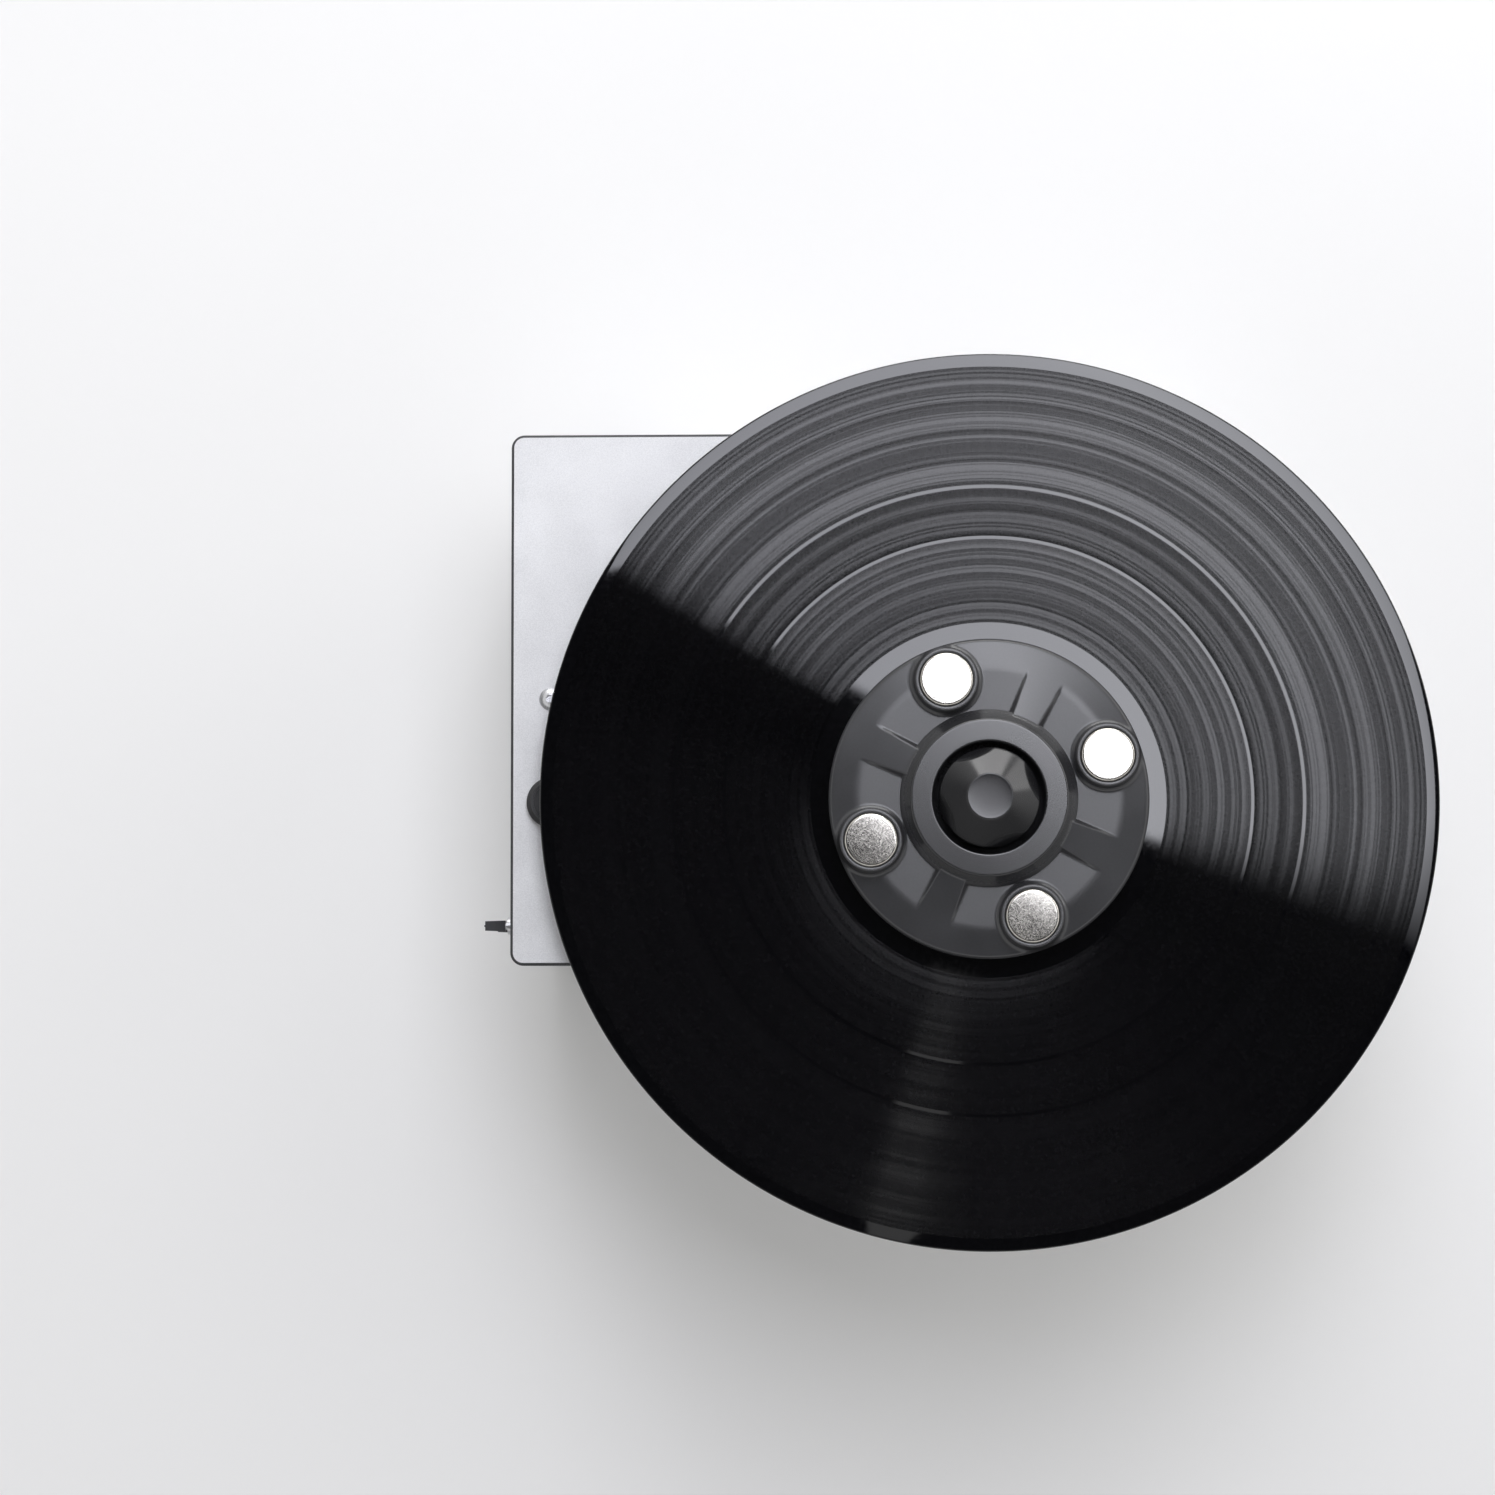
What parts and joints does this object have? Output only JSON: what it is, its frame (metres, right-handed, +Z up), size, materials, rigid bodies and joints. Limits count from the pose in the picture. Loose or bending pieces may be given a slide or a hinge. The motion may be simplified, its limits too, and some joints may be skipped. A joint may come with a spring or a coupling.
{
  "type": "record cleaning machine",
  "caption": "Compact record cleaning machine: a silver case with a label-size platter, a record held by a clamp with round magnets and a screw knob, toggle switches and suction inside.",
  "frame": {"origin": "under the middle of the whole object's box, on the surface that the feet stand on", "axes": "+Z up, +X to the right seen from the front, +Y to the rear, where the mains inlet and the drain are"},
  "size_m": [0.3264, 0.3016, 0.214],
  "materials": {
    "panel_metal": "satin, with a fine sparkle",
    "panel_core": "matte",
    "case_metal": "satin",
    "steel": "satin",
    "cast_metal": "turned, satin",
    "rubber": "matte",
    "vinyl": "glossy, grooved",
    "label_card": "plain matte card",
    "clamp_plastic": "satin moulded",
    "knob_plastic": "smooth satin",
    "nickel": "nickel plated",
    "brass": "satin",
    "black_plastic": "matte moulded",
    "tank_plastic": "milky",
    "board_green": "lacquered"
  },
  "bodies": {
    "case": {"top_skin": "panel_metal", "top_core": "panel_core", "case_wrap": "case_metal", "base_plate": "steel", "top_brackets": "steel", "base_blocks": "steel", "top_screws": "steel", "base_screws": "steel", "small_screws": "steel", "feet": "rubber", "bearing_housing": "cast_metal", "bearing_outer_rings": "steel", "drive_belt": "rubber", "gearmotor": "steel", "motor_bracket": "steel", "arm_socket": "black_plastic", "socket_nut": "black_plastic", "rotation_switch": "steel", "suction_switch": "steel", "switch_nuts": "steel", "waste_tank": "tank_plastic", "tank_lid": "tank_plastic", "liquid_hose": "rubber", "air_hose": "rubber", "suction_motor": "steel", "motor_isolator": "rubber", "fan_housing": "case_metal", "exhaust_grille": "black_plastic", "drain_spigot": "black_plastic", "drain_hose": "rubber", "mains_inlet": "black_plastic", "inlet_pins": "brass", "power_board": "board_green", "board_parts": "black_plastic", "board_posts": "brass"},
    "platter": {"platter": "cast_metal", "platter_mat": "rubber", "spindle": "steel", "bearing_inner_rings": "steel", "shaft_clip": "steel", "platter_pulley": "black_plastic"},
    "bearing_balls": {"bearing_balls": "steel"},
    "motor_pulley": {"motor_pulley": "black_plastic", "motor_shaft": "steel"},
    "record": {"record": "vinyl", "record_labels": "label_card"},
    "clamp": {"clamp_disc": "clamp_plastic", "clamp_magnets": "nickel", "clamp_seal": "rubber"},
    "knob": {"clamp_knob": "knob_plastic", "knob_insert": "brass", "knob_clip": "steel"},
    "socket_bung": {"socket_bung": "rubber"},
    "rotation_toggle": {"rotation_toggle": "steel", "rotation_paddle": "black_plastic"},
    "suction_toggle": {"suction_toggle": "steel", "suction_paddle": "black_plastic"},
    "fan": {"fan_impeller": "black_plastic"},
    "drain_plug": {"drain_plug": "rubber"},
    "fuse_drawer": {"fuse_drawer": "black_plastic"}
  },
  "joints": [
    {"name": "platter_spin", "type": "hinge", "parent": "case", "child": "platter", "pos_m": [0.01245, 0, 0.1705], "axis": [0, 0, 1], "continuous": true},
    {"name": "ball_orbit", "type": "hinge", "parent": "case", "child": "bearing_balls", "pos_m": [0.01245, 0, 0.1675], "axis": [0, 0, 1], "continuous": true},
    {"name": "motor_pulley_spin", "type": "hinge", "parent": "case", "child": "motor_pulley", "pos_m": [-0.05355, 0, 0.1275], "axis": [0, 0, 1], "continuous": true},
    {"name": "record_lift", "type": "slide", "parent": "platter", "child": "record", "axis": [0, 0, 1], "range_m": [0, 0.05]},
    {"name": "clamp_lift", "type": "slide", "parent": "record", "child": "clamp", "axis": [0, 0, 1], "range_m": [0, 0.016]},
    {"name": "knob_turn", "type": "hinge", "parent": "clamp", "child": "knob", "pos_m": [0.01245, 0, 0.1975], "axis": [0, 0, 1], "range_deg": [0, 5762]},
    {"name": "bung_pull", "type": "slide", "parent": "case", "child": "socket_bung", "axis": [0, 0, 1], "range_m": [0, 0.007]},
    {"name": "rotation_throw", "type": "hinge", "parent": "case", "child": "rotation_toggle", "pos_m": [-0.15285, -0.0414, 0.1255], "axis": [0, 1, 0], "range_deg": [-13, 13]},
    {"name": "suction_throw", "type": "hinge", "parent": "case", "child": "suction_toggle", "pos_m": [-0.15285, -0.0414, 0.0805], "axis": [0, 1, 0], "range_deg": [0, 26]},
    {"name": "fan_spin", "type": "hinge", "parent": "case", "child": "fan", "pos_m": [0.04515, 0.0715, 0.0875], "axis": [0, 0, 1], "continuous": true},
    {"name": "plug_pull", "type": "slide", "parent": "case", "child": "drain_plug", "axis": [0, 1, 0], "range_m": [0, 0.02]},
    {"name": "drawer_pull", "type": "slide", "parent": "case", "child": "fuse_drawer", "axis": [0, 1, 0], "range_m": [0, 0.02]}
  ],
  "couplings": [
    {"joint": "ball_orbit", "follows": "platter_spin", "ratio": 0.37},
    {"joint": "motor_pulley_spin", "follows": "platter_spin", "ratio": 3},
    {"joint": "knob_turn", "follows": "clamp_lift", "rad_per_m": 6283.2}
  ]
}
